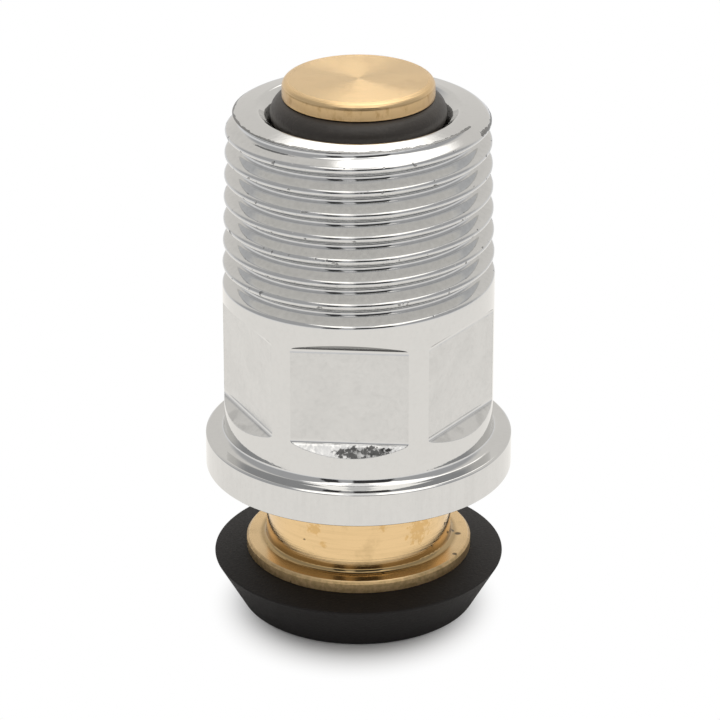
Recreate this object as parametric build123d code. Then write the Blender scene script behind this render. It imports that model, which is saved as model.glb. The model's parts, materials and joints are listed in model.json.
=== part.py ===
from build123d import *
from math import cos, pi, radians, sin, tan
import os

# Sizes in millimetres. The part stands on its rubber seal at z = 0, with its axis on +Z.

# Taper pipe thread of the tail, half inch
THREAD_PITCH = 25.4 / 14
THREAD_GAUGE_DIA = 20.955
THREAD_GAUGE_LENGTH = 8.2
THREAD_TAPER = 1 / 16
THREAD_DEPTH = 1.1
THREAD_FLANK_ANGLE = 27.5
THREAD_ROOT_FLAT = 0.26
THREAD_LENGTH = 14.0
THREAD_LEAD_IN = 0.9
THREAD_CREST_ANGLE = 184.5
THREAD_FIRST_CREST = 1.81
RUN_OUT_RISE = 0.48
RUN_OUT_ANGLE = 200.0

# Tail body
COLLAR_DIA = 21.3
COLLAR_HEIGHT = 13.15
FLAT_WIDTH_ACROSS = 19.2
FLAT_COUNT = 6
FLAT_LENGTH = 7.85
FLAT_LOW_MARGIN = 3.1
FLAT_END_ANGLE = 36.0
FLANGE_LEDGE = 1.5
FLANGE_THICKNESS = 2.8
FLANGE_EDGE_RADIUS = 0.3
FLANGE_LOW_EDGE_RADIUS = 0.15
FLANGE_CORNER_RADIUS = 0.7
BORE_MOUTH_CHAMFER = 0.4
RIM_FACE_ANGLE = 11.0
SEAT_MOUTH_DIA = 15.66
SEAT_HALF_ANGLE = 45.0
THROAT_DIA = 10.8
SEAT_LAND = 1.5

# Plunger sleeve
NECK_DIA = 14.8
NECK_GAP = 6.45
SLEEVE_LENGTH = 18.0
SLEEVE_BORE_DIA = 11.2
SLEEVE_TOP_CHAMFER = 0.25
SLEEVE_FLANGE_DIA = 18.0
SLEEVE_FLANGE_THICKNESS = 0.95
SLEEVE_FLANGE_CHAMFER = 0.22
SLEEVE_CORNER_RADIUS = 0.35
WEB_THICKNESS = 3.0
PORT_COUNT = 6
PORT_DIA = 2.4
PORT_CIRCLE_DIA = 8.6
NOSE_DIA = 13.2
NOSE_LIP_HEIGHT = 0.8
NOSE_LIP_REACH = 0.45
NOSE_RECESS = 0.6

# Sleeve seal ring in its groove
SLEEVE_RING_HEIGHT = 13.0
SLEEVE_RING_GROOVE_DEPTH = 1.15
SLEEVE_RING_GROOVE_WIDTH = 2.0
SLEEVE_RING_WIDTH = 1.75

# Valve head
HEAD_DIA = 11.8
HEAD_THICKNESS = 1.4
HEAD_EDGE_RADIUS = 0.4
HEAD_LIP_DIA = 9.9
HEAD_LIP_HEIGHT = 0.9
HEAD_CONE_HEIGHT = 2.4
STEM_DIA = 6.0
STEM_THREAD_DIA = 5.0
STEM_OVERHANG = 0.6
STEM_END_CHAMFER = 0.4

# Head seal ring
HEAD_RING_SECTION = 2.62
HEAD_RING_INNER_DIA = 8.38

# Cone seal
SEAL_TOP_DIA = 23.3
SEAL_BOTTOM_DIA = 18.7
SEAL_RIM_HEIGHT = 3.95
SEAL_SHOULDER = 0.45
SEAL_SHOULDER_DIA = 17.6
SEAL_EDGE_RADIUS = 0.2

# Return spring
SPRING_WIRE_DIA = 1.0
SPRING_WIRE_SIDES = 8
SPRING_TURNS = 7.0
SPRING_CLOSED_TURNS = 0.8

# Fits
SLIDE_CLEARANCE = 0.05
SEAT_CLEARANCE = 0.05
RING_BORE_CLEARANCE = 0.03
SPRING_BORE_CLEARANCE = 0.25
SPRING_SEAT_CLEARANCE = 0.03
SPRING_COIL_CLEARANCE = 0.04
CUTTER_MARGIN = 0.14

# Heights and diameters that follow from the sizes above
FLANGE_DIA = COLLAR_DIA + 2 * FLANGE_LEDGE
SEAL_TOP = SEAL_RIM_HEIGHT + SEAL_SHOULDER
SLEEVE_FLANGE_TOP = SEAL_TOP + SLEEVE_FLANGE_THICKNESS
FLANGE_BOTTOM = SLEEVE_FLANGE_TOP + NECK_GAP
FLANGE_TOP = FLANGE_BOTTOM + FLANGE_THICKNESS
COLLAR_TOP = FLANGE_TOP + COLLAR_HEIGHT
RIM_TOP = COLLAR_TOP + THREAD_LENGTH
SEAT_TAN = tan(radians(SEAT_HALF_ANGLE))
SEAT_BOTTOM = RIM_TOP - (SEAT_MOUTH_DIA - THROAT_DIA) / 2 / SEAT_TAN
SHOULDER_Z = SEAT_BOTTOM - SEAT_LAND
SLEEVE_TOP = SLEEVE_FLANGE_TOP + SLEEVE_LENGTH
BORE_RADIUS = NECK_DIA / 2 + SLIDE_CLEARANCE
SMALL_END_RADIUS = (THREAD_GAUGE_DIA - THREAD_GAUGE_LENGTH * THREAD_TAPER) / 2
HEAD_RING_RADIUS = (HEAD_RING_INNER_DIA + HEAD_RING_SECTION) / 2
HEAD_RING_REACH = (HEAD_RING_SECTION / 2 + SEAT_CLEARANCE) / cos(radians(SEAT_HALF_ANGLE))
HEAD_RING_Z = RIM_TOP - (SEAT_MOUTH_DIA / 2 - HEAD_RING_RADIUS - HEAD_RING_REACH) / SEAT_TAN
HEAD_BOTTOM = HEAD_RING_Z + HEAD_RING_SECTION / 2


def turned(points):
    """Solid of revolution about Z from (radius, height) points."""
    outline = Polyline(*[(r, 0, z) for r, z in points], close=True)
    return revolve(make_face(outline), Axis.Z)


def circles_at(solid, radius, height):
    """Circular edges of one radius at one height."""
    rings = solid.edges().filter_by(GeomType.CIRCLE)
    return [e for e in rings if abs(e.radius - radius) < 1e-3 and abs(e.center().Z - height) < 1e-3]


def cone_radius(z):
    """Crest radius of the taper thread at a height."""
    return SMALL_END_RADIUS + (RIM_TOP - z) * THREAD_TAPER / 2


def tail_blank():
    """The turned tail before its taper, flats and thread are cut."""
    collar, rim, mouth = COLLAR_DIA / 2, FLANGE_DIA / 2, SEAT_MOUTH_DIA / 2
    rim_fall = (collar - mouth) * tan(radians(RIM_FACE_ANGLE))
    blank = turned([
        (BORE_RADIUS + BORE_MOUTH_CHAMFER, FLANGE_BOTTOM),
        (rim, FLANGE_BOTTOM),
        (rim, FLANGE_TOP),
        (collar, FLANGE_TOP),
        (collar, RIM_TOP - rim_fall),
        (mouth, RIM_TOP),
        (THROAT_DIA / 2, SEAT_BOTTOM),
        (THROAT_DIA / 2, SHOULDER_Z),
        (BORE_RADIUS, SHOULDER_Z),
        (BORE_RADIUS, FLANGE_BOTTOM + BORE_MOUTH_CHAMFER),
    ])
    blank = fillet(circles_at(blank, collar, FLANGE_TOP), FLANGE_CORNER_RADIUS)
    blank = fillet(circles_at(blank, rim, FLANGE_TOP), FLANGE_EDGE_RADIUS)
    return fillet(circles_at(blank, rim, FLANGE_BOTTOM), FLANGE_LOW_EDGE_RADIUS)


def taper_cutter():
    """Ring outside the thread's crests, from the collar up to the bevel at the rim."""
    foot, lead_z = cone_radius(COLLAR_TOP), RIM_TOP - THREAD_LEAD_IN
    end, over = cone_radius(lead_z), THREAD_LEAD_IN + CUTTER_MARGIN
    far = foot + COLLAR_DIA / 2
    return turned([
        (foot, COLLAR_TOP),
        (far, COLLAR_TOP),
        (far, lead_z + over),
        (end - over, lead_z + over),
        (end, lead_z),
    ])


def flat_cutter():
    """Removes one spanner flat, with sloping ends, on the -Y side."""
    near, far = FLAT_WIDTH_ACROSS / 2, COLLAR_DIA / 2 + CUTTER_MARGIN
    low = FLANGE_TOP + FLAT_LOW_MARGIN
    high = low + FLAT_LENGTH
    rise = (far - near) * tan(radians(FLAT_END_ANGLE))
    side = Polyline((0, -near, low), (0, -near, high), (0, -far, high + rise), (0, -far, low - rise), close=True)
    return extrude(make_face(side), COLLAR_DIA / 2, dir=(1, 0, 0), both=True)


def thread_turn(start, end, fade_start):
    """Up to one turn of the groove between two crests, from one angle down to another."""
    steps = max(4, round((start - end) / 15))
    angles = [start + (end - start) * i / steps for i in range(steps + 1)]
    slope = tan(radians(THREAD_FLANK_ANGLE))

    def rail(side, outer):
        points = []
        for angle in angles:
            z = root_height(angle)
            fade = max(0.0, (fade_start - angle) / RUN_OUT_ANGLE)
            surface = min(cone_radius(z), COLLAR_DIA / 2) + CUTTER_MARGIN
            depth = (THREAD_DEPTH + CUTTER_MARGIN) * (1 - fade) + fade * CUTTER_MARGIN / 2
            half = THREAD_ROOT_FLAT / 2 + (slope * depth if outer else 0)
            r = surface if outer else surface - depth
            points.append((r * cos(radians(angle)), r * sin(radians(angle)), z + side * half))
        return Edge.make_spline(points, parameters=[i / steps for i in range(steps + 1)])

    rails = [rail(1, True), rail(1, False), rail(-1, False), rail(-1, True)]
    sides = [Face.make_surface_from_curves(rails[i], rails[(i + 1) % 4]) for i in range(4)]
    caps = [Face(Wire.make_polygon([r @ at for r in rails], close=True)) for at in (0, 1)]
    return Solid(Shell(sides + caps))


def root_height(angle):
    """Height of the groove's root at an angle in degrees, rising anticlockwise: right-handed."""
    turns = (angle - THREAD_CREST_ANGLE) / 360
    return RIM_TOP - THREAD_FIRST_CREST + (turns - 0.5) * THREAD_PITCH


def root_angle(z):
    """Angle at which the groove's root passes a height."""
    return THREAD_CREST_ANGLE + 360 * ((z - RIM_TOP + THREAD_FIRST_CREST) / THREAD_PITCH + 0.5)


def tail_body():
    tail = tail_blank() - taper_cutter()
    for i in range(FLAT_COUNT):
        tail -= Rot(0, 0, 360 * i / FLAT_COUNT) * flat_cutter()
    angle = root_angle(RIM_TOP + THREAD_PITCH)
    fade_start = root_angle(COLLAR_TOP + RUN_OUT_RISE)
    last = fade_start - RUN_OUT_ANGLE
    while angle > last + 1:
        low = max(angle - 360, last)
        tail -= thread_turn(angle, low, fade_start)
        angle = low
    return tail


def plunger_sleeve():
    neck, nose = NECK_DIA / 2, NOSE_DIA / 2
    groove_z = SLEEVE_FLANGE_TOP + SLEEVE_RING_HEIGHT
    half = SLEEVE_RING_GROOVE_WIDTH / 2
    floor = neck - SLEEVE_RING_GROOVE_DEPTH
    lip = nose + NOSE_LIP_REACH
    sleeve = turned([
        (SLEEVE_BORE_DIA / 2, NOSE_RECESS),
        (lip - NOSE_LIP_REACH / 2, NOSE_RECESS),
        (lip, NOSE_RECESS + NOSE_LIP_HEIGHT / 2),
        (lip, NOSE_RECESS + NOSE_LIP_HEIGHT),
        (nose, NOSE_RECESS + NOSE_LIP_HEIGHT),
        (nose, SEAL_TOP),
        (SLEEVE_FLANGE_DIA / 2, SEAL_TOP),
        (SLEEVE_FLANGE_DIA / 2, SLEEVE_FLANGE_TOP),
        (neck, SLEEVE_FLANGE_TOP),
        (neck, groove_z - half),
        (floor, groove_z - half),
        (floor, groove_z + half),
        (neck, groove_z + half),
        (neck, SLEEVE_TOP),
        (STEM_THREAD_DIA / 2, SLEEVE_TOP),
        (STEM_THREAD_DIA / 2, SLEEVE_TOP - WEB_THICKNESS),
        (SLEEVE_BORE_DIA / 2, SLEEVE_TOP - WEB_THICKNESS),
    ])
    sleeve = fillet(circles_at(sleeve, neck, SLEEVE_FLANGE_TOP), SLEEVE_CORNER_RADIUS)
    sleeve = chamfer(circles_at(sleeve, SLEEVE_FLANGE_DIA / 2, SLEEVE_FLANGE_TOP), SLEEVE_FLANGE_CHAMFER)
    sleeve = chamfer(circles_at(sleeve, neck, SLEEVE_TOP), SLEEVE_TOP_CHAMFER)
    port = Pos(PORT_CIRCLE_DIA / 2, 0, SLEEVE_TOP - WEB_THICKNESS / 2) * Cylinder(PORT_DIA / 2, 2 * WEB_THICKNESS)
    for i in range(PORT_COUNT):
        sleeve -= Rot(0, 0, 360 * i / PORT_COUNT) * port
    return sleeve


def valve_head():
    core = HEAD_RING_INNER_DIA / 2
    lip_top = HEAD_RING_Z - HEAD_RING_SECTION / 2
    lip_bottom = lip_top - HEAD_LIP_HEIGHT
    end = SLEEVE_TOP - WEB_THICKNESS - STEM_OVERHANG
    head = turned([
        (0, end),
        (STEM_THREAD_DIA / 2 - STEM_END_CHAMFER, end),
        (STEM_THREAD_DIA / 2, end + STEM_END_CHAMFER),
        (STEM_THREAD_DIA / 2, SLEEVE_TOP),
        (STEM_DIA / 2, SLEEVE_TOP),
        (STEM_DIA / 2, lip_bottom - HEAD_CONE_HEIGHT),
        (HEAD_LIP_DIA / 2, lip_bottom),
        (HEAD_LIP_DIA / 2, lip_top),
        (core, lip_top),
        (core, HEAD_BOTTOM),
        (HEAD_DIA / 2, HEAD_BOTTOM),
        (HEAD_DIA / 2, HEAD_BOTTOM + HEAD_THICKNESS),
        (0, HEAD_BOTTOM + HEAD_THICKNESS),
    ])
    return fillet(circles_at(head, HEAD_DIA / 2, HEAD_BOTTOM + HEAD_THICKNESS), HEAD_EDGE_RADIUS)


def ring(radius, height, radial, axial):
    """Seal ring with an oval section, by its half widths."""
    section = Plane.XZ * Pos(radius, height) * Ellipse(radial, axial)
    return revolve(section, Axis.Z)


def head_seal_ring():
    half = HEAD_RING_SECTION / 2
    return Pos(0, 0, HEAD_RING_Z) * Torus(HEAD_RING_RADIUS, half)


def sleeve_seal_ring():
    inner = NECK_DIA / 2 - SLEEVE_RING_GROOVE_DEPTH
    outer = BORE_RADIUS - RING_BORE_CLEARANCE
    height = SLEEVE_FLANGE_TOP + SLEEVE_RING_HEIGHT
    return ring((inner + outer) / 2, height, (outer - inner) / 2, SLEEVE_RING_WIDTH / 2)


def cone_seal():
    nose = NOSE_DIA / 2
    lip = nose + NOSE_LIP_REACH
    lip_top = NOSE_RECESS + NOSE_LIP_HEIGHT
    seal = turned([
        (lip, 0),
        (SEAL_BOTTOM_DIA / 2, 0),
        (SEAL_TOP_DIA / 2, SEAL_RIM_HEIGHT),
        (SEAL_SHOULDER_DIA / 2, SEAL_TOP),
        (nose, SEAL_TOP),
        (nose, lip_top),
        (lip, lip_top),
    ])
    return fillet(circles_at(seal, SEAL_TOP_DIA / 2, SEAL_RIM_HEIGHT), SEAL_EDGE_RADIUS)


def return_spring():
    """Compression spring with closed, ground ends, at its fitted length."""
    radius = BORE_RADIUS - SPRING_BORE_CLEARANCE - SPRING_WIRE_DIA / 2
    low = SLEEVE_TOP + SPRING_SEAT_CLEARANCE
    length = SHOULDER_Z - low
    closed = SPRING_CLOSED_TURNS
    end_rise = closed * (SPRING_WIRE_DIA + SPRING_COIL_CLEARANCE)
    rise = (length - 2 * end_rise) / (SPRING_TURNS - 2 * closed)

    def height(turn):
        if turn < closed:
            return turn * end_rise / closed
        if turn > SPRING_TURNS - closed:
            return length - (SPRING_TURNS - turn) * end_rise / closed
        return end_rise + (turn - closed) * rise

    per_turn = 12
    count = int(SPRING_TURNS * per_turn)
    turns = [SPRING_TURNS * i / count for i in range(count + 1)]
    path = Edge.make_spline([
        (radius * cos(2 * pi * t), radius * sin(2 * pi * t), low + height(t)) for t in turns
    ])
    half_flat = cos(pi / SPRING_WIRE_SIDES)
    wire = Plane(path @ 0, z_dir=path % 0) * RegularPolygon(SPRING_WIRE_DIA / 2 / half_flat, SPRING_WIRE_SIDES)
    coil = sweep(wire, path=path, is_frenet=True)
    return coil & Pos(0, 0, low + length / 2) * Cylinder(2 * radius, length)


if __name__ == "__main__":
    os.makedirs("parts", exist_ok=True)
    for make in (tail_body, plunger_sleeve, valve_head, head_seal_ring, sleeve_seal_ring, cone_seal, return_spring):
        solid = make()
        solid.label = make.__name__
        export_step(solid, f"parts/{make.__name__}.step")
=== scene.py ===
"""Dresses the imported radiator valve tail: plated tail, turned brass plunger, rubber seals, plain studio."""

import json
from itertools import accumulate
from math import atan2, ceil, cos, floor, hypot, pi, radians, sin, sqrt, tan

import bmesh
import bpy
from bpy.props import FloatProperty, FloatVectorProperty, PointerProperty
from bpy.types import Operator, Panel, PropertyGroup
from mathutils import Matrix, Vector


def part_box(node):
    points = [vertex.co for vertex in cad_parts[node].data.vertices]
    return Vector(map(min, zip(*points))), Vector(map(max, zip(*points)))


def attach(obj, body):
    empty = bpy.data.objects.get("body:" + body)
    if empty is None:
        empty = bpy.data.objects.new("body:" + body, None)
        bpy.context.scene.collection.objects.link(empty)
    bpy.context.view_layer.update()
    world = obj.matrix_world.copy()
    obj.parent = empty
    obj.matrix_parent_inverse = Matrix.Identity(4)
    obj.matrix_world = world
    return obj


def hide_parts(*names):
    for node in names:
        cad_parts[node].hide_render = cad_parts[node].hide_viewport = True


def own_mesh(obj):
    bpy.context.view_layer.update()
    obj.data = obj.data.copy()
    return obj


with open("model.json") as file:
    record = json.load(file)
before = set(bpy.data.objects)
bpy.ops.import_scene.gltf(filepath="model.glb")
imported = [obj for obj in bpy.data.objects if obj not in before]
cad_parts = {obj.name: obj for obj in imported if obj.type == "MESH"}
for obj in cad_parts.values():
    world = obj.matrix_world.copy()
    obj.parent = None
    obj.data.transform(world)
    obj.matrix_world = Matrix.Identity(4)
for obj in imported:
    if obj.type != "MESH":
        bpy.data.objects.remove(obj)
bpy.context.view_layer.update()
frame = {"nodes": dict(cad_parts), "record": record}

bl_info = {
    "name": "Radiator valve tail",
    "version": (1, 0, 0),
    "blender": (4, 5, 0),
    "location": "3D View > Sidebar > Valve tail",
    "description": "Models and finishes the pieces of a self-closing radiator valve tail around its CAD frame",
    "category": "Object",
}

MM = 0.001
TURN = 2 * pi
TINY = 0.0005 * MM
FLATS = 6

# Fineness of the meshes
ROUND = 192
THREAD_ROWS = 36
PROFILE_SEGMENTS = 10
FLAT_SEGMENTS = 3
SCOOP_STEPS = 6
RING_SIDES = 40
WIRE_SIDES = 16
COIL_STEPS = 48

# Edges that turn by more than these are rounded on the collar, and shaded as sharp on a finished piece
ROUNDED_ANGLE = radians(14)
SHARP_ANGLE = radians(40)

# Vertex attribute that holds the wear along the rim
LIP = "lip_wear"

# Marks on the plunger sleeve: x, y, z and reach, in millimetres
NECK_STAINS = (
    (-3.0, -6.75, 8.8, 0.5), (-2.3, -7.03, 7.6, 0.3), (2.5, -6.97, 9.3, 0.35), (5.2, -5.25, 8.4, 1.1),
)
FLANGE_PITS = ((8.0, 0.1, 5.35, 0.32), (7.5, 0.5, 5.4, 0.22), (7.92, -3.5, 5.35, 0.22))

# Tint of the studio's light, and of the floor in reflections
WARM = (1, 0.97, 0.925)


def mount(name):
    """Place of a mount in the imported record."""
    return next(Vector(m["pos_m"]) for m in frame["record"]["mounts"] if m["name"] == name)


def width(node):
    """Width of a round node."""
    low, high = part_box(node)
    return high[0] - low[0]


def top(node):
    """Height of a node's highest point."""
    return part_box(node)[1][2]


def bottom(node):
    """Height of a node's lowest point."""
    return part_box(node)[0][2]


def length(name, default, description):
    """A size in metres."""
    return FloatProperty(name=name, description=description, default=default, subtype="DISTANCE", precision=5)


def angle(name, degrees, description):
    """An angle, given in degrees."""
    return FloatProperty(name=name, description=description, default=radians(degrees), subtype="ANGLE")


def number(name, default, description):
    """A count or ratio."""
    return FloatProperty(name=name, description=description, default=default)


def colour(name, default, description):
    """The base colour of a finish."""
    return FloatVectorProperty(
        name=name, description=description, default=default, subtype="COLOR", size=3, min=0, max=1
    )


class TailSizes(PropertyGroup):
    rim: length("Rim", top("tail_body"), "Height of the tail's top rim")
    flange_bottom: length("Flange bottom", bottom("tail_body"), "Height of the flange's underside")
    flange_top: length("Flange top", mount("union_flange_face").z, "Height of the flange's upper face")
    flange_radius: length("Flange radius", width("tail_body") / 2, "Outer radius of the union flange")
    flange_chamfer: length("Flange edge", 0.18 * MM, "Width of the chamfer on the flange's upper edge")
    flange_chamfer_height: length("Flange edge height", 0.126 * MM, "Height of that chamfer")
    flange_round: length("Flange edge round", 0.05 * MM, "Rounding of that chamfer's edges")
    flange_low_round: length("Flange low edge", 0.15 * MM, "Rounding of the flange's lower edge")
    corner_round: length("Corner", 0.6 * MM, "Fillet between collar and flange")
    collar_radius: length("Collar radius", 10.65 * MM, "Radius of the plain collar")
    flat_distance: length("Flat", -mount("spanner_flat").y, "Distance of a spanner flat from the axis")
    flat_middle: length("Flat height", mount("spanner_flat").z, "Height of the middle of the spanner flats")
    flat_length: length("Flat length", 7.85 * MM, "Height of a spanner flat")
    flat_slope: angle("Flat ends", 36, "Slope of the flats' ends")
    flat_round: length("Flat edge", 0.16 * MM, "Rounding of the flats' edges")
    scallop: length("Scallop", 1 * MM, "Height of the rough ends of the flats")
    scoop_round: length("Scoop", 0.5 * MM, "Round between a flat and its sloping end")
    scoop_inset: length("Scoop inset", 0.2 * MM, "Where that round starts, short of the flat's end")
    seat_radius: length("Seat mouth", 7.83 * MM, "Radius of the conical seat at the rim")
    seat_start: length("Seat start", 0.7 * MM, "Depth below the rim where the turned seat starts")
    throat_radius: length("Throat", 5.4 * MM, "Radius of the throat under the seat")
    throat_round: length("Throat edge", 0.1 * MM, "Rounding of the throat's two edges")
    land: length("Land", 1.5 * MM, "Height of the throat's land")
    bore_radius: length("Bore", 7.45 * MM, "Radius of the bore that guides the plunger")
    bore_chamfer: length("Bore chamfer", 0.4 * MM, "Chamfer at the mouth of the bore")
    pitch: length("Pitch", 25.4 / 14 * MM, "Pitch of the pipe thread")
    small_end: length("Small end", (20.955 - 8.2 / 16) / 2 * MM, "Crest radius of the thread at the rim")
    taper: number("Taper", 1 / 16, "Taper of the thread on its diameter")
    flank: angle("Flank", 27.5, "Slope of the thread's flanks")
    crest_round: length("Crest", 0.29 * MM, "Rounding of the thread's crest")
    root_round: length("Root", 0.35 * MM, "Rounding of the thread's root")
    crest_angle: angle("Crest angle", 184.5, "Where the first crest is measured")
    first_crest: length("First crest", 1.81 * MM, "Depth of the first crest below the rim at that angle")
    run_out_height: length("Run-out", 28.23 * MM, "Height of the groove where it starts to run out")
    run_out_angle: angle("Run-out angle", 200, "Turn over which the groove runs out")
    plain_gap: length("Plain gap", 1.1 * MM, "Plain collar that is made with the flats, above them")
    joining_band: length("Joining band", 0.2 * MM, "Height of the bands between thread, collar and flange")
    lead_in: length("Lead-in", 0.9 * MM, "Bevel at the rim's outer edge")
    rim_slope: angle("Rim slope", 11, "Fall of the rim's face outwards")
    rim_round: length("Rim edge", 0.35 * MM, "Rounding between that bevel and the rim's face")
    mouth_round: length("Seat edge", 0.25 * MM, "Rounding between the rim's face and the seat")
    mouth_depth: length("Seat edge depth", 0.5 * MM, "Depth of the seat that is made with the rim")
    edge_round: length("Thread edge", 0.12 * MM, "Softening where the rim cuts the thread")
    wear_width: length("Worn edge", 0.3 * MM, "Width of the wear along that edge")


class PlungerSizes(PropertyGroup):
    neck_radius: length("Neck", 7.4 * MM, "Radius of the brass neck")
    flange_radius: length("Flange", width("plunger_sleeve") / 2, "Radius of the brass flange")
    flange_thickness: length("Flange thickness", 0.95 * MM, "Thickness of the brass flange")
    nose_radius: length("Nose", 6.6 * MM, "Radius of the nose that carries the cone seal")
    lip_radius: length("Nose lip", 7.05 * MM, "Radius of the lip that holds the cone seal")
    lip_height: length("Nose lip height", 0.8 * MM, "Height of that lip")
    head_radius: length("Head", width("valve_head") / 2, "Radius of the valve head's disc")
    head_thickness: length("Head thickness", 1.4 * MM, "Thickness of the disc")
    head_round: length("Head edge", 0.6 * MM, "Rounding of the disc's upper edge")
    head_low_round: length("Head low edge", 0.08 * MM, "Rounding of the disc's lower edge")
    groove_radius: length("Ring groove", 4.19 * MM, "Radius of the groove that holds the head's ring")
    head_lip_radius: length("Head lip", 4.95 * MM, "Radius of the lip under the ring")
    head_lip_height: length("Head lip height", 0.9 * MM, "Height of that lip")
    head_lip_round: length("Head lip edge", 0.1 * MM, "Rounding of that lip's edges")
    head_cone: length("Head cone", 2.4 * MM, "Height of the cone between that lip and the stem")
    stem_radius: length("Stem", 3 * MM, "Radius of the stem")
    stem_screw_radius: length("Stem screw", 2.5 * MM, "Radius of the stem's end in the sleeve")
    stem_end_round: length("Stem end", 0.3 * MM, "Rounding of the stem's end")
    seal_radius: length("Seal", width("cone_seal") / 2, "Outer radius of the cone seal")
    seal_overhang: length("Seal overhang", 0.1 * MM, "Reach of the seal's edge before it is rounded")
    seal_edge_round: length("Seal edge", 0.16 * MM, "Rounding of the cone seal's outer edge")
    seal_foot: length("Seal foot", 9.35 * MM, "Radius of the cone seal's foot")
    seal_foot_round: length("Seal foot edge", 0.2 * MM, "Rounding of that foot")
    seal_rim: length("Seal rim", 3.95 * MM, "Height of the cone seal's outer edge")
    seal_shoulder: length("Seal shoulder", 8.8 * MM, "Radius where the seal's top starts to slope")


class SpringSizes(PropertyGroup):
    wire: length("Wire", 1 * MM, "Thickness of the spring wire")
    turns: number("Turns", 7, "All turns of the spring")
    closed: number("Closed turns", 0.8, "Turns that lie against each other at each end")
    coil_gap: length("Coil gap", 0.04 * MM, "Gap between the closed turns")


class Finishes(PropertyGroup):
    chrome: colour("Chrome", (0.682, 0.684, 0.68), "Bright plate")
    brass: colour("Brass", (0.83, 0.598, 0.325), "Turned brass")
    # The ring rubber's warm tint is painted reflection of the brass beside it
    ring: colour("Ring rubber", (0.038, 0.032, 0.027), "Smoother rubber of the rings")
    rubber: colour("Rubber", (0.0075, 0.006, 0.0056), "Black rubber")
    steel: colour("Steel", (0.55, 0.55, 0.56), "Spring wire")


class StageSettings(PropertyGroup):
    azimuth: angle("Azimuth", 4.21, "Camera's turn to the right")
    elevation: angle("Elevation", 24.19, "Camera's height angle")
    distance: length("Distance", 298.6 * MM, "Camera's distance from its target")
    target: length("Target", 20.44 * MM, "Height that the camera looks at")
    lens: number("Lens", 189.04, "Focal length in millimetres")
    sensor: number("Sensor", 36, "Width of the camera's sensor in millimetres")
    shift: number("Shift", 0.002, "Sideways shift of the view")
    floor_size: length("Floor", 3, "Half the width of the floor")


class Signal:
    """A shader value; arithmetic on it adds Math nodes to its finish."""

    def __init__(self, finish, socket):
        self.finish, self.socket = finish, socket

    def math(self, operation, *values):
        """A Math node on the given values, or on this signal alone."""
        return self.finish.node("Math", {"operation": operation}, dict(enumerate(values or (self,))))

    def __add__(self, other):
        return self.math("ADD", self, other)

    def __radd__(self, other):
        return self.math("ADD", other, self)

    def __sub__(self, other):
        return self.math("SUBTRACT", self, other)

    def __rsub__(self, other):
        return self.math("SUBTRACT", other, self)

    def __mul__(self, other):
        return self.math("MULTIPLY", self, other)

    def __rmul__(self, other):
        return self.math("MULTIPLY", other, self)

    def __truediv__(self, other):
        return self.math("DIVIDE", self, other)

    def __rtruediv__(self, other):
        return self.math("DIVIDE", other, self)

    def __pow__(self, other):
        return self.math("POWER", self, other)

    def step(self, low, high):
        """0 below low, 1 above high, smooth between."""
        settings = {"interpolation_type": "SMOOTHSTEP"}
        return self.finish.node("MapRange", settings, {"Value": self, 1: low, 2: high})

    def between(self, low, high, soft):
        """1 from low to high and 0 outside, with soft ends."""
        return self.step(low, low + soft) * (1 - self.step(high - soft, high))


class Finish:
    """A node tree under construction, for a material or the world."""

    def __init__(self, owner):
        owner.use_nodes = True
        self.owner, self.tree = owner, owner.node_tree
        self.tree.nodes.clear()

    def node(self, kind, settings=None, inputs=None, output=0):
        """Adds a node, sets it up, feeds its sockets, and returns one output, or a list of them."""
        made = self.tree.nodes.new("ShaderNode" + kind)
        for key, value in (settings or {}).items():
            setattr(made, key, value)
        for key, value in (inputs or {}).items():
            self.feed(made.inputs[key], value)
        if isinstance(output, tuple):
            return [Signal(self, made.outputs[name]) for name in output]
        return Signal(self, made.outputs[output]) if made.outputs else made

    def feed(self, socket, value):
        """Links a signal to a socket, or sets the socket's own value."""
        if isinstance(value, Signal):
            self.tree.links.new(value.socket, socket)
        elif socket.type == "RGBA":
            socket.default_value = (*value, 1)
        else:
            socket.default_value = value

    def place(self):
        """Object coordinates."""
        return self.node("TexCoord", output="Object")

    def stretched(self, scale):
        """Object coordinates scaled per axis."""
        return self.node("Mapping", None, {"Vector": self.place(), "Scale": scale})

    def axes(self, vector=None):
        """X, Y and Z of a vector, or of the object coordinates."""
        return self.node("SeparateXYZ", None, {0: vector or self.place()}, output=("X", "Y", "Z"))

    def radius(self):
        """Distance from the part's axis."""
        x, y, _ = self.axes()
        return (x * x + y * y) ** 0.5

    def noise(self, scale, detail=4, vector=None, roughness=0.5, distortion=0):
        """Noise over a vector, or over the object coordinates."""
        inputs = {
            "Vector": vector or self.place(), "Scale": scale, "Detail": detail, "Roughness": roughness,
            "Distortion": distortion,
        }
        return self.node("TexNoise", None, inputs)

    def marks(self, places, waver):
        """Soft spots at places of (x, y, z, reach) in millimetres, with a wavering edge."""
        total = 0
        for *at, reach in places:
            ends = {0: self.place(), 1: [c * MM for c in at]}
            run = self.node("VectorMath", {"operation": "DISTANCE"}, ends, output="Value")
            total = total + (1 - (run / (reach * MM) + waver).step(0.6, 1.1))
        return total

    def mix(self, factor, first, second):
        """Blend of two colours."""
        inputs = {0: factor, 6: first, 7: second}
        return self.node("Mix", {"data_type": "RGBA"}, inputs, output=2)

    def bump(self, height, distance):
        """Normal of a relief whose height of 1 is a distance."""
        return self.node("Bump", None, {"Height": height, "Distance": distance})

    def surface(self, **inputs):
        """Ends the tree in a Principled shader; names are its sockets with spaces as underscores."""
        named = {key.replace("_", " "): value for key, value in inputs.items()}
        shader = self.node("BsdfPrincipled", None, named)
        self.node("OutputMaterial", None, {"Surface": shader})
        return self.owner


def shaded(tint, factors):
    """A colour with each channel times its own factor."""
    return tuple(c * k for c, k in zip(tint, factors))


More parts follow.
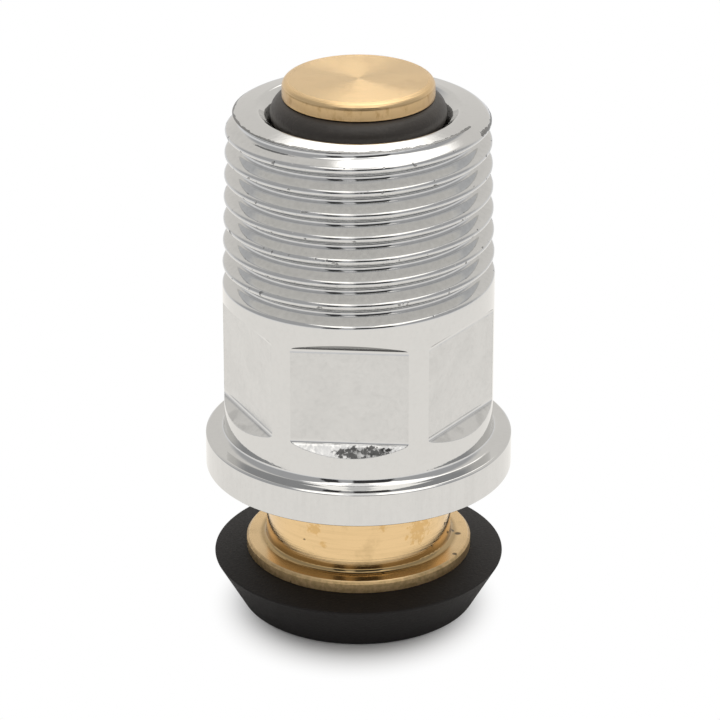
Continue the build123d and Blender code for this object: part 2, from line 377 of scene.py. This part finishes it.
def chrome_plate(tint, size):
    """Bright plate over turned brass: polished flats with a rough scallop at their lower ends and painted
    shade on their upper ends, painted shade and thinner plate in the thread grooves, nicks on the thread.
    """
    f = Finish(bpy.data.materials.new("chrome_plate"))
    x, y, z = f.axes()
    r = f.radius()

    # Surfaces of the tail; crest is the height over the line of the thread's crests
    low = size.flat_middle - size.flat_length / 2
    high = low + size.flat_length
    end = size.scallop
    thread_low = high + 2.2 * MM
    cut = 1 - r.step(size.collar_radius - 0.04 * MM, size.collar_radius - 0.01 * MM)
    flat = cut * z.between(low + 0.15 * MM, high - 0.15 * MM, 0.2 * MM)
    low_end = cut * (1 - z.step(low - 0.06 * MM, low)) * z.step(low - end, low - 0.9 * end)
    # The flats' upper ends face down and are darkened as painted shade
    high_end_shade = cut * z.step(high, high + 0.05 * MM) * (1 - z.step(high + 0.9 * end, high + end))
    crest = r - (size.rim - z) * (size.taper / 2) - size.small_end
    above = z.step(thread_low, thread_low + 0.4 * MM)
    thread = above * (1 - z.step(size.rim - 1.2 * MM, size.rim - size.lead_in))
    ridge = above * crest.step(-0.16 * MM, -0.08 * MM)
    # Darker in the thread grooves: thinner plate there, and painted shade
    groove = thread * (1 - crest.step(-0.5 * MM, -0.1 * MM)) * crest.step(-1.4 * MM, -1.25 * MM)
    band = r.step(size.flange_radius - 0.04 * MM, size.flange_radius - 0.01 * MM)

    # Textures of the plate
    swirl = f.noise(700, 7, roughness=0.7, distortion=2.5)
    cloud = f.noise(330, 5, roughness=0.6)
    blotch = f.noise(300, 4, roughness=0.6)
    speck = f.noise(1900, 5, roughness=0.7)
    grain = f.noise(2600, 3)
    streak = band * f.noise(1, 4, f.stretched((2000, 2000, 130)), 0.65).step(0.35, 0.75)
    polish = flat * (0.02 + cloud.step(0.4, 0.7) * 0.06 + swirl.step(0.45, 0.7) * 0.05)

    # Nicks on the crests, wear along the rim, and a dark, speckled spot in the front scallop
    nick = ridge * f.noise(1700, 2).step(0.66, 0.7)
    lip = f.node("Attribute", {"attribute_name": LIP}, output="Fac")
    wear = f.noise(1050, 6, roughness=0.75)
    worn = (lip + (wear - 0.5) * 2.4).step(0.34, 0.46) * lip.step(0.1, 0.3)
    spot_x = (x - 1.3 * MM) / (2.7 * MM)
    spot_z = (z - low + 0.5 * MM) / (0.45 * MM)
    spot = 1 - (spot_x * spot_x + spot_z * spot_z + (speck - 0.5) * 3).step(0.6, 0.9)
    spot = spot * low_end * (1 - y.step(-9 * MM, -8 * MM))

    # Darkening of the plate: polish, scallop texture, streaks, nicks, rim wear and a dark spot, with painted
    # shade on the flats' upper ends and in the thread grooves
    dull_and_shade = (
        polish + groove * 0.05 + high_end_shade * 0.85 + low_end * blotch.step(0.5, 0.6) * 0.15 + streak * 0.04
        + nick * 0.5 + worn * 0.65 + spot * (0.85 - speck.step(0.5, 0.56) * 0.5)
    )
    mottle = 0.92 + cloud * 0.07 + grain * 0.08 + (grain - 0.5) * thread * 0.12
    relief = (
        swirl * (0.2 + flat * 2) + cloud * (0.8 + flat * 5) + grain * 0.5 + blotch * low_end * 9
        - nick * 6 - worn * 6
    )
    rough = 0.05 + flat * (0.06 + cloud * 0.08) + low_end * 0.06 + ridge * 0.08 + nick * 0.25 + worn * 0.15
    return f.surface(
        Base_Color=f.mix((1 - dull_and_shade) * mottle, (0, 0, 0), tint),
        Metallic=1.0,
        Roughness=rough,
        Normal=f.bump(relief, 0.006 * MM),
    )


def head_brass(tint, size):
    """Faced brass: rings left by the tool on the disc, and a duller, stained side that is also darkened all
    over as painted shade.
    """
    f = Finish(bpy.data.materials.new("head_brass"))
    r = f.radius()
    wander = f.noise(700, 3)
    side = r.step(size.head_radius - 0.06 * MM, size.head_radius - 0.02 * MM)
    edge = r.step(size.head_radius - size.head_round, size.head_radius - size.head_round / 2)
    smudge = f.noise(1, 4, f.stretched((1500, 1500, 700)), 0.7).step(0.48, 0.72)
    # The side is darkened all over as painted shade, with smudged stains on it
    stain_and_shade = f.noise(420, 5, roughness=0.65).step(0.5, 0.72) * 0.18 + side * (0.38 + smudge * 0.6)
    rings = (r * 96000 + wander * 4).math("SINE") + (r * 61000).math("SINE")
    return f.surface(
        Base_Color=f.mix(stain_and_shade, tint, shaded(tint, (0.62, 0.54, 0.42))),
        Metallic=1.0,
        Roughness=0.2 + wander * 0.06 + edge * 0.08,
        Normal=f.bump(rings, 0.0032 * MM),
    )


def sleeve_brass(tint, size):
    """Turned brass neck and flange: lathe lines, brown stains, pits, painted shade in the corner at the neck's
    foot, and a mottled edge.
    """
    f = Finish(bpy.data.materials.new("sleeve_brass"))
    _, _, z = f.axes()
    r = f.radius()
    ledge = top("cone_seal") + size.flange_thickness
    foot = 1 - z.step(ledge + 0.2 * MM, ledge + 1.1 * MM)
    # Painted shade in the corner where the neck meets the flange
    corner = foot * (1 - r.step(size.neck_radius + 0.1 * MM, size.neck_radius + 0.7 * MM))
    face = r.step(size.neck_radius + 0.3 * MM, size.neck_radius + 0.6 * MM)
    edge = r.step(size.flange_radius - 0.25 * MM, size.flange_radius - 0.1 * MM)
    wander = f.noise(700, 3)
    fleck = f.noise(2400, 5, roughness=0.7)
    cloud = f.noise(420, 5, roughness=0.65).step(0.5, 0.72)
    brushed = f.noise(1, 5, f.stretched((150, 150, 2500)), 0.6).step(0.45, 0.7)
    stain_and_shade = (
        0.08 + cloud * 0.35 + brushed * 0.2 + corner * (0.9 + wander * 0.9)
        + edge * (0.25 + fleck.step(0.35, 0.65) * 0.5)
    )
    pit = f.noise(900, 1).step(0.74, 0.77) + f.marks(FLANGE_PITS, (wander - 0.5) * 0.8)
    lines = (z * 96000).math("SINE") + (z * 61000).math("SINE")
    brown = f.marks(NECK_STAINS, (fleck - 0.5) * 5) * 0.7
    spotted = f.mix(brown, tint, shaded(tint, (0.8, 0.69, 0.47)))
    stained_and_shaded = f.mix(stain_and_shade, spotted, shaded(tint, (0.56, 0.55, 0.5)))
    return f.surface(
        Base_Color=f.mix(pit * 0.85, stained_and_shaded, (0.06, 0.04, 0.02)),
        Metallic=1.0,
        Roughness=0.05 + wander * 0.06 + face * 0.15 + edge * 0.2,
        Normal=f.bump(lines - pit * 20, 0.0003 * MM),
    )


def black_rubber(name, tint, gloss, shine):
    """Moulded rubber with a fine grain and grey dust."""
    f = Finish(bpy.data.materials.new(name))
    grain = f.noise(5000, 4)
    dust = f.noise(1500, 6, roughness=0.7).step(0.5, 0.8)
    return f.surface(
        Base_Color=f.mix(dust * 0.5, tint, shaded(tint, (2.2, 2.2, 2.2))),
        Roughness=gloss + grain * 0.2,
        Specular_IOR_Level=shine,
        Normal=f.bump(grain, 0.03 * MM),
    )


def spring_wire(tint):
    """Drawn steel wire."""
    f = Finish(bpy.data.materials.new("spring_wire"))
    drawn = f.noise(3000, 3)
    return f.surface(
        Base_Color=tint, Metallic=1.0, Roughness=0.22 + drawn * 0.2, Normal=f.bump(drawn, 0.005 * MM)
    )


def all_of(bm):
    """All geometry of a bmesh."""
    return bm.verts[:] + bm.edges[:] + bm.faces[:]


def pour(bm, part):
    """Adds one bmesh to another and frees it."""
    mesh = bpy.data.meshes.new("part")
    part.to_mesh(mesh)
    part.free()
    bm.from_mesh(mesh)
    bpy.data.meshes.remove(mesh)


def spin(bm, geom, turn, steps, rise=0, **options):
    """Spins geometry about Z by an angle, rising on the way."""
    return bmesh.ops.spin(
        bm, geom=geom, cent=(0, 0, 0), axis=(0, 0, 1), dvec=(0, 0, rise / steps), angle=turn, steps=steps,
        **options,
    )


def trim(bm, low, high):
    """Cuts away what lies outside two heights."""
    for height, side in ((high, 1), (low, -1)):
        bmesh.ops.bisect_plane(
            bm, geom=all_of(bm), dist=TINY, plane_co=(0, 0, height), plane_no=(0, 0, side), clear_outer=True
        )


def fill_holes(bm):
    """Closes every open edge loop with a face."""
    bmesh.ops.holes_fill(bm, edges=[e for e in bm.edges if e.is_boundary], sides=0)


def turned(corners):
    """Spins a profile of (radius, height, rounding) corners about Z."""
    bm = bmesh.new()
    verts = [bm.verts.new((r, 0, z)) for r, z, _ in corners]
    for pair in zip(verts, verts[1:]):
        bm.edges.new(pair)
    for vert, (_, _, rounding) in zip(verts, corners):
        if rounding:
            bmesh.ops.bevel(
                bm, geom=[vert], offset=rounding, segments=PROFILE_SEGMENTS, profile=0.5, affect="VERTICES",
                material=-1,
            )
    spin(bm, bm.verts[:] + bm.edges[:], TURN, ROUND, use_merge=True)
    return bm


def round_section(thickness, sides, radius, height):
    """Circle across the way of a spin about Z, at a radius and height."""
    bm = bmesh.new()
    bmesh.ops.create_circle(bm, segments=sides, radius=thickness / 2)
    bmesh.ops.rotate(bm, verts=bm.verts[:], cent=(0, 0, 0), matrix=Matrix.Rotation(pi / 2, 3, "X"))
    bmesh.ops.translate(bm, verts=bm.verts[:], vec=(radius, 0, height))
    return bm


def piece(name, bm, body, node, material):
    """Makes a finished object from a bmesh: welded, facing outwards, smooth, riding on a body for a node."""
    bmesh.ops.remove_doubles(bm, verts=bm.verts[:], dist=3 * TINY)
    bmesh.ops.dissolve_degenerate(bm, dist=TINY, edges=bm.edges[:])
    bmesh.ops.recalc_face_normals(bm, faces=bm.faces[:])
    for face in bm.faces:
        face.smooth = True
    mesh = bpy.data.meshes.new(name)
    bm.to_mesh(mesh)
    bm.free()
    mesh.set_sharp_from_angle(angle=SHARP_ANGLE)
    made = bpy.data.objects.new(name, mesh)
    bpy.context.scene.collection.objects.link(made)
    made.data.materials.append(material)
    weighted = made.modifiers.new("face_weights", "WEIGHTED_NORMAL")
    weighted.keep_sharp = True
    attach(made, body)
    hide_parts(node)
    return made


def dress(node, material):
    """Gives a CAD node its finish."""
    materials = frame["nodes"][node].data.materials
    materials.clear()
    materials.append(material)


def crest_radius(size, z):
    """Crest of the taper thread, running into the plain collar."""
    return min(size.small_end + (size.rim - z) * size.taper / 2, size.collar_radius)


def arc_fall(radius, run):
    """How far a round falls away at a distance from its top."""
    return radius - sqrt(radius ** 2 - run ** 2)


def thread_depth(size, turns):
    """Depth of the groove at a fraction of a turn from the crest: straight flanks, rounded crest and root."""
    crest, root = (r * cos(size.flank) for r in (size.crest_round, size.root_round))
    run, half = abs(turns) * size.pitch, size.pitch / 2
    straight = arc_fall(size.crest_round, crest) - crest / tan(size.flank)
    if run < crest:
        return arc_fall(size.crest_round, run)
    if run < half - root:
        return straight + run / tan(size.flank)
    low = straight + (half - root) / tan(size.flank) + arc_fall(size.root_round, root)
    return low - arc_fall(size.root_round, half - run)


def lip_corners(size):
    """Corners (radius, height, rounding) of the rim: its bevel, its sloping face and the top of the seat."""
    bevel = crest_radius(size, size.rim - size.lead_in) + size.rim - size.lead_in
    start = size.rim - size.lead_in - size.edge_round
    fall = tan(size.rim_slope)
    corner = (size.rim - (bevel - size.seat_radius) * fall) / (1 - fall)
    return (
        (bevel - start, start, 0),
        (bevel - corner, corner, size.rim_round),
        (size.seat_radius, size.rim, size.mouth_round),
        (size.seat_radius - size.mouth_depth, size.rim - size.mouth_depth, 0),
    )


def path_ends(corners):
    """Distance from the start of a path to each of its later corners."""
    return list(accumulate(hypot(b[0] - a[0], b[1] - a[1]) for a, b in zip(corners, corners[1:])))


def along(corners, ends, run):
    """Radius and height at a distance along a path of (radius, height, rounding) corners."""
    run = min(run, ends[-1])
    leg = next(i for i, end in enumerate(ends) if run <= end + corners[i + 1][2])
    points = [Vector(c[:2]) for c in corners[leg:leg + 3]]
    here, there = points[:2]
    rounding, short = corners[leg + 1][2], ends[leg] - run
    if short >= rounding:
        return there + (here - there).normalized() * short
    mix = (rounding - short) / (2 * rounding)
    before = there + (here - there).normalized() * rounding
    after = there + (points[2] - there).normalized() * rounding
    return before * (1 - mix) ** 2 + there * 2 * mix * (1 - mix) + after * mix ** 2


def soft_min(first, second, blend):
    """The smaller of two lengths, rounded over where they are nearly alike."""
    near = max(0.0, 1 - abs(first - second) / blend)
    return min(first, second) - near ** 2 * blend / 4


def helical_band(size, low, high):
    """Plain cylinder of helical rows of faces between two heights, and the height of its lowest crest."""
    bm = bmesh.new()
    start = size.rim - size.first_crest
    start -= ceil((start - low) / size.pitch + 1) * size.pitch
    turns = ceil((high - start) / size.pitch) + 1
    heights = [start + size.pitch * i / THREAD_ROWS for i in range(THREAD_ROWS + 1)]
    verts = [bm.verts.new((size.collar_radius, 0, z)) for z in heights]
    edges = [bm.edges.new(pair) for pair in zip(verts, verts[1:])]
    bmesh.ops.rotate(bm, verts=verts, cent=(0, 0, 0), matrix=Matrix.Rotation(size.crest_angle, 3, "Z"))
    spin(bm, verts + edges, TURN, ROUND, size.pitch)
    one_turn = all_of(bm)
    for turn in range(1, turns):
        copy = bmesh.ops.duplicate(bm, geom=one_turn)["geom"]
        moved = [v for v in copy if isinstance(v, bmesh.types.BMVert)]
        bmesh.ops.translate(bm, verts=moved, vec=(0, 0, size.pitch * turn))
    bmesh.ops.remove_doubles(bm, verts=bm.verts[:], dist=2 * TINY)
    trim(bm, low, high)
    return bm, start


def thread_sheet(size, low):
    """Thread from a height on the collar up to the rim, over its lip and into the seat."""
    lip = lip_corners(size)
    ends = path_ends(lip)
    foot = lip[0][1]
    bm, start = helical_band(size, low, foot + ends[-1] / sqrt(2))
    fade_from = (size.run_out_height - start) / size.pitch
    wear = bm.verts.layers.float.new(LIP)
    columns = {}
    for v in bm.verts:
        edge, z = along(lip, ends, (v.co.z - foot) * sqrt(2)) if v.co.z > foot else (lip[0][0], v.co.z)
        part_turn = (atan2(v.co.y, v.co.x) - size.crest_angle) % TURN / TURN
        crests = (z - start) / size.pitch - part_turn
        groove = floor(crests) + 0.5 + part_turn
        fade = min(1.0, max(0.0, (fade_from - groove) * TURN / size.run_out_angle))
        r = crest_radius(size, z) - thread_depth(size, crests - round(crests)) * (1 - fade)
        if v.co.z > foot:
            columns.setdefault(round(part_turn * ROUND) % ROUND, []).append((v.co.z, r > edge, v))
            r = soft_min(r, edge, size.edge_round)
        v.co = (*(v.co.xy.normalized() * r), z)
    for column in columns.values():
        cut = min(height for height, over, _ in column if over)
        for height, _, v in column:
            v[wear] = max(0.0, 1 - abs(height - cut) * sqrt(2) / size.wear_width)
    return bm


def collar_band(size, low, high):
    """One band of one sixth of the plain collar, about the -Y side."""
    bm = bmesh.new()
    verts = [bm.verts.new((0, -size.collar_radius, z)) for z in (low, high)]
    edge = bm.edges.new(verts)
    bmesh.ops.rotate(bm, verts=verts, cent=(0, 0, 0), matrix=Matrix.Rotation(-pi / FLATS, 3, "Z"))
    spin(bm, verts + [edge], TURN / FLATS, ROUND // FLATS)
    return bm


def sliced(bm, place, normal):
    """Cuts a band by a plane and fills the cut with one face."""
    cut = bmesh.ops.bisect_plane(
        bm, geom=all_of(bm), dist=TINY, plane_co=place, plane_no=normal, clear_outer=True
    )
    outline = [v for v in cut["geom_cut"] if isinstance(v, bmesh.types.BMVert)]
    middle = sum((v.co for v in outline), Vector()) / len(outline)
    across = Vector((1, 0, 0))
    upward = across.cross(normal)
    outline.sort(key=lambda v: atan2((v.co - middle).dot(upward), (v.co - middle).dot(across)))
    bm.faces.new(outline)
    return bm


def scoop(size, side):
    """Corners (distance from the axis, height) of a flat's end: a round, then a slope out of the collar."""
    end = size.flat_middle + side * (size.flat_length / 2 - size.scoop_inset)
    turns = [(pi / 2 - size.flat_slope) * i / SCOOP_STEPS for i in range(SCOOP_STEPS + 1)]
    path = [
        (size.flat_distance + size.scoop_round * (1 - cos(t)), end + side * size.scoop_round * sin(t))
        for t in turns
    ]
    reach = size.collar_radius - path[-1][0] + size.flat_round
    return path + [(path[-1][0] + reach, path[-1][1] + side * reach * tan(size.flat_slope))]


def collar(size, low, high):
    """Collar with its six spanner flats, from one height to another."""
    profile = scoop(size, -1)[::-1] + scoop(size, 1)
    bm = collar_band(size, low, profile[0][1])
    pour(bm, collar_band(size, profile[-1][1], high))
    for (near, z0), (far, z1) in zip(profile, profile[1:]):
        normal = Vector((0, z0 - z1, near - far)).normalized()
        pour(bm, sliced(collar_band(size, z0, z1), (0, -near, z0), normal))
    spin(bm, all_of(bm), TURN * (FLATS - 1) / FLATS, FLATS - 1, use_duplicate=True)
    bmesh.ops.remove_doubles(bm, verts=bm.verts[:], dist=4 * TINY)
    bmesh.ops.recalc_face_normals(bm, faces=bm.faces[:])
    edges = [e for e in bm.edges if len(e.link_faces) == 2 and e.calc_face_angle() > ROUNDED_ANGLE]
    bmesh.ops.bevel(
        bm, geom=edges, offset=size.flat_round, segments=FLAT_SEGMENTS, profile=0.5, affect="EDGES",
        material=-1, clamp_overlap=True,
    )
    return bm


def bridge(bm, *heights):
    """Joins the open edge loops that lie on two heights."""
    loops = [
        e for e in bm.edges
        if e.is_boundary and any(all(abs(v.co.z - height) < 4 * TINY for v in e.verts) for height in heights)
    ]
    bmesh.ops.bridge_loops(bm, edges=loops)


class VALVETAIL_OT_tail(Operator):
    """Plated tail with its taper thread, spanner flats, flange and seat"""
    bl_idname = "valvetail.tail"
    bl_label = "Tail body"

    def execute(self, context):
        size, finish = context.scene.tail_sizes, context.scene.finishes
        seat_top = size.rim - size.seat_start
        seat_bottom = size.rim - (size.seat_radius - size.throat_radius)
        shoulder = seat_bottom - size.land
        foot = size.flange_top + size.corner_round + size.joining_band
        collar_top = size.flat_middle + size.flat_length / 2 + size.plain_gap
        thread_bottom = collar_top + size.joining_band
        bm = thread_sheet(size, thread_bottom)
        pour(bm, collar(size, foot, collar_top))
        pour(bm, turned([
            (size.seat_radius - size.seat_start, seat_top, 0),
            (size.throat_radius, seat_bottom, size.throat_round),
            (size.throat_radius, shoulder, size.throat_round),
            (size.bore_radius, shoulder, 0),
            (size.bore_radius, size.flange_bottom + size.bore_chamfer, 0),
            (size.bore_radius + size.bore_chamfer, size.flange_bottom, 0),
            (size.flange_radius, size.flange_bottom, size.flange_low_round),
            (size.flange_radius, size.flange_top - size.flange_chamfer_height, size.flange_round),
            (size.flange_radius - size.flange_chamfer, size.flange_top, size.flange_round),
            (size.collar_radius, size.flange_top, size.corner_round),
            (size.collar_radius, foot, 0),
        ]))
        bmesh.ops.remove_doubles(bm, verts=bm.verts[:], dist=4 * TINY)
        bridge(bm, collar_top, thread_bottom)
        bridge(bm, size.rim - size.mouth_depth, seat_top)
        piece("tail", bm, "tail", "tail_body", chrome_plate(finish.chrome, size))
        return {"FINISHED"}


class VALVETAIL_OT_head(Operator):
    """Brass valve head: the disc over the seat, its ring groove and its stem"""
    bl_idname = "valvetail.head"
    bl_label = "Valve head"

    def execute(self, context):
        size, finish = context.scene.plunger_sizes, context.scene.finishes
        head_top, stem_end = top("valve_head"), bottom("valve_head")
        under = head_top - size.head_thickness
        groove_low = bottom("head_seal_ring")
        lip_low = groove_low - size.head_lip_height
        web_top = top("plunger_sleeve")
        bm = turned([
            (0, head_top, 0),
            (size.head_radius, head_top, size.head_round),
            (size.head_radius, under, size.head_low_round),
            (size.groove_radius, under, 0),
            (size.groove_radius, groove_low, 0),
            (size.head_lip_radius, groove_low, size.head_lip_round),
            (size.head_lip_radius, lip_low, size.head_lip_round),
            (size.stem_radius, lip_low - size.head_cone, 0),
            (size.stem_radius, web_top, 0),
            (size.stem_screw_radius, web_top, 0),
            (size.stem_screw_radius, stem_end, size.stem_end_round),
            (0, stem_end, 0),
        ])
        piece("head", bm, "plunger", "valve_head", head_brass(finish.brass, size))
        return {"FINISHED"}


class VALVETAIL_OT_sleeve(Operator):
    """Brass sleeve: neck, flange, nose and ported web"""
    bl_idname = "valvetail.sleeve"
    bl_label = "Plunger sleeve"

    def execute(self, context):
        size, finish = context.scene.plunger_sizes, context.scene.finishes
        dress("plunger_sleeve", sleeve_brass(finish.brass, size))
        return {"FINISHED"}


class VALVETAIL_OT_seals(Operator):
    """Cone seal and the two sealing rings"""
    bl_idname = "valvetail.seals"
    bl_label = "Rubber seals"

    def execute(self, context):
        size, finish = context.scene.plunger_sizes, context.scene.finishes
        seal_top = top("cone_seal")
        lip_top = bottom("plunger_sleeve") + size.lip_height
        bm = turned([
            (size.lip_radius, 0, 0),
            (size.seal_foot, 0, size.seal_foot_round),
            (size.seal_radius + size.seal_overhang, size.seal_rim, size.seal_edge_round),
            (size.seal_shoulder, seal_top, 0),
            (size.nose_radius, seal_top, 0),
            (size.nose_radius, lip_top, 0),
            (size.lip_radius, lip_top, 0),
            (size.lip_radius, 0, 0),
        ])
        rubber = black_rubber("cone_rubber", finish.rubber, gloss=0.5, shine=0.3)
        piece("cone", bm, "plunger", "cone_seal", rubber)
        low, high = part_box("head_seal_ring")
        half = (high[2] - low[2]) / 2
        bm = round_section(2 * half, RING_SIDES, high[0] - half, low[2] + half)
        spin(bm, bm.verts[:] + bm.edges[:], TURN, ROUND, use_merge=True)
        ring = black_rubber("ring_rubber", finish.ring, gloss=0.34, shine=0.5)
        piece("head_ring", bm, "plunger", "head_seal_ring", ring)
        dress("sleeve_seal_ring", ring)
        return {"FINISHED"}


def coil(size, low, high, radius):
    """Spring between two heights: a closed end, open turns and the other closed end, ground flat."""
    bm = round_section(size.wire, WIRE_SIDES, radius, low)
    end_rise = size.closed * (size.wire + size.coil_gap)
    end_run = (size.closed, end_rise)
    open_run = (size.turns - 2 * size.closed, high - low - 2 * end_rise)
    last = bm.verts[:] + bm.edges[:]
    for turns, rise in (end_run, open_run, end_run):
        last = spin(bm, last, TURN * turns, round(turns * COIL_STEPS), rise)["geom_last"]
    fill_holes(bm)
    trim(bm, low, high)
    fill_holes(bm)
    return bm


class VALVETAIL_OT_spring(Operator):
    """Return spring inside the tail, made at one length; the plunger does not press it together"""
    bl_idname = "valvetail.spring"
    bl_label = "Return spring"

    def execute(self, context):
        size, finish = context.scene.spring_sizes, context.scene.finishes
        low, high = bottom("return_spring"), top("return_spring")
        bm = coil(size, low, high, (width("return_spring") - size.wire) / 2)
        spring = piece("spring", bm, "tail", "return_spring", spring_wire(finish.steel))
        joint = next(j for j in frame["record"]["behaviour"]["joints"] if j["name"] == "plunger_slide")
        keep = 1 - joint["range_m"][1] / (high - low)
        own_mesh(spring)
        return {"FINISHED"}


def paper():
    """White floor that keeps the shadow near the part and is plain white further out."""
    f = Finish(bpy.data.materials.new("paper"))
    rays = ("Is Camera Ray", "Is Glossy Ray", "Is Transmission Ray")
    camera, glossy, through = f.node("LightPath", output=rays)
    x, y, _ = f.axes()
    r = f.radius()

    # The shadow fades out over an oval, a little ahead of the axis and narrower across
    wide, ahead = x * 1.1, y + 2.2 * MM
    lit = ((wide * wide + ahead * ahead) ** 0.5).step(7.2 * MM, 13.2 * MM)
    away = lit * (1 - glossy) + r.step(10 * MM, 20 * MM) * glossy

    # Reflections show the floor warm near the part and dimmer far out
    far = r.step(85 * MM, 130 * MM) * glossy
    dimmed = f.mix(far, (1, 1, 1), (0.82, 0.82, 0.83))
    tint = f.mix(glossy * (1 - far), dimmed, WARM)
    white = f.node("Emission", None, {"Color": tint, "Strength": 1})
    diffuse = f.node("BsdfDiffuse", None, {"Color": (0.9, 0.9, 0.9)})
    shown = f.node("MixShader", None, {0: (camera + glossy + through) * away, 1: diffuse, 2: white})
    f.node("OutputMaterial", None, {"Surface": shown})
    return f.owner


def studio(world, view):
    """Pale dome, dimmer on the camera's side, with a softbox behind the part, one ahead and dark patches."""
    f = Finish(world)
    x, y, z = f.axes(f.node("TexCoord", output="Generated"))
    across = x * cos(view.azimuth) + y * sin(view.azimuth)
    front = x * sin(view.azimuth) - y * cos(view.azimuth)
    side = across.math("ARCTAN2", across, front)

    # Dimmer side of the dome, and the dark patches low on it
    facing = 1 - (side + 0.12).math("ABSOLUTE").step(1.85, 2.3)
    low = 1 - z.step(0.64, 0.76)
    patches = (side.between(-0.1, 0.52, 0.04) + side.between(-0.56, -0.27, 0.04)) * low

    # Softboxes on a level plane overhead, u to the right and w towards the camera
    over = z.math("MAXIMUM", z, 0.05)
    u, w = across / over, front / over
    ahead = w.step(-0.12, 0)
    gap = u.between(-0.14, 0.16, 0.06) * ahead
    rear = (u - w * 0.12).step(-0.2, -0.06) * (1 - u.step(0.42, 0.66)) * w.step(-1.5, -1.1) * (1 - ahead)
    fore = u.step(-0.5, -0.38) * (1 - u.step(0.62, 0.75)) * ahead * (1 - w.step(0.95, 1.3)) * (1 - gap * 0.55)
    box = (rear + fore) * z.step(0.3, 0.4)

    level = (0.78 - facing * 0.3 + box * 1.3) * (1 - patches * 0.89)
    tint = f.mix(facing * (1 - box), WARM, (0.95, 0.95, 0.96))
    light = f.node("Background", None, {"Color": tint, "Strength": level})
    f.node("OutputWorld", None, {"Surface": light})


class VALVETAIL_OT_stage(Operator):
    """White floor, soft studio light and the camera"""
    bl_idname = "valvetail.stage"
    bl_label = "Stage"

    def execute(self, context):
        scene, view = context.scene, context.scene.stage_settings
        bm = bmesh.new()
        bmesh.ops.create_grid(bm, x_segments=1, y_segments=1, size=view.floor_size)
        mesh = bpy.data.meshes.new("floor")
        bm.to_mesh(mesh)
        bm.free()
        ground = bpy.data.objects.new("floor", mesh)
        mesh.materials.append(paper())
        scene.collection.objects.link(ground)
        scene.world = scene.world or bpy.data.worlds.new("studio")
        studio(scene.world, view)
        target = Vector((0, 0, view.target))
        outward = cos(view.elevation)
        direction = Vector((sin(view.azimuth) * outward, -cos(view.azimuth) * outward, sin(view.elevation)))
        data = bpy.data.cameras.new("camera")
        data.lens, data.sensor_width, data.shift_x = view.lens, view.sensor, view.shift
        data.clip_start, data.clip_end = 10 * MM, 20
        camera = bpy.data.objects.new("camera", data)
        camera.location = target + direction * view.distance
        camera.rotation_euler = (-direction).to_track_quat("-Z", "Y").to_euler()
        scene.collection.objects.link(camera)
        scene.camera = camera
        scene.view_settings.view_transform = "Standard"
        return {"FINISHED"}


OPERATORS = (
    VALVETAIL_OT_tail, VALVETAIL_OT_head, VALVETAIL_OT_sleeve, VALVETAIL_OT_seals, VALVETAIL_OT_spring,
    VALVETAIL_OT_stage,
)


class VALVETAIL_PT_pieces(Panel):
    """Pieces of the valve tail, in the order they are made"""
    bl_idname = "VALVETAIL_PT_pieces"
    bl_label = "Valve tail"
    bl_space_type = "VIEW_3D"
    bl_region_type = "UI"
    bl_category = "Valve tail"

    def draw(self, context):
        for operator in OPERATORS:
            self.layout.operator(operator.bl_idname)


GROUPS = {
    "tail_sizes": TailSizes, "plunger_sizes": PlungerSizes, "spring_sizes": SpringSizes,
    "finishes": Finishes, "stage_settings": StageSettings,
}
CLASSES = (*GROUPS.values(), *OPERATORS, VALVETAIL_PT_pieces)


def register():
    for cls in CLASSES:
        bpy.utils.register_class(cls)
    for name, group in GROUPS.items():
        setattr(bpy.types.Scene, name, PointerProperty(type=group))


def unregister():
    for name in GROUPS:
        delattr(bpy.types.Scene, name)
    for cls in reversed(CLASSES):
        bpy.utils.unregister_class(cls)


def main():
    register()
    for operator in OPERATORS:
        category, name = operator.bl_idname.split(".")
        getattr(getattr(bpy.ops, category), name)()


if __name__ == "__main__":
    main()
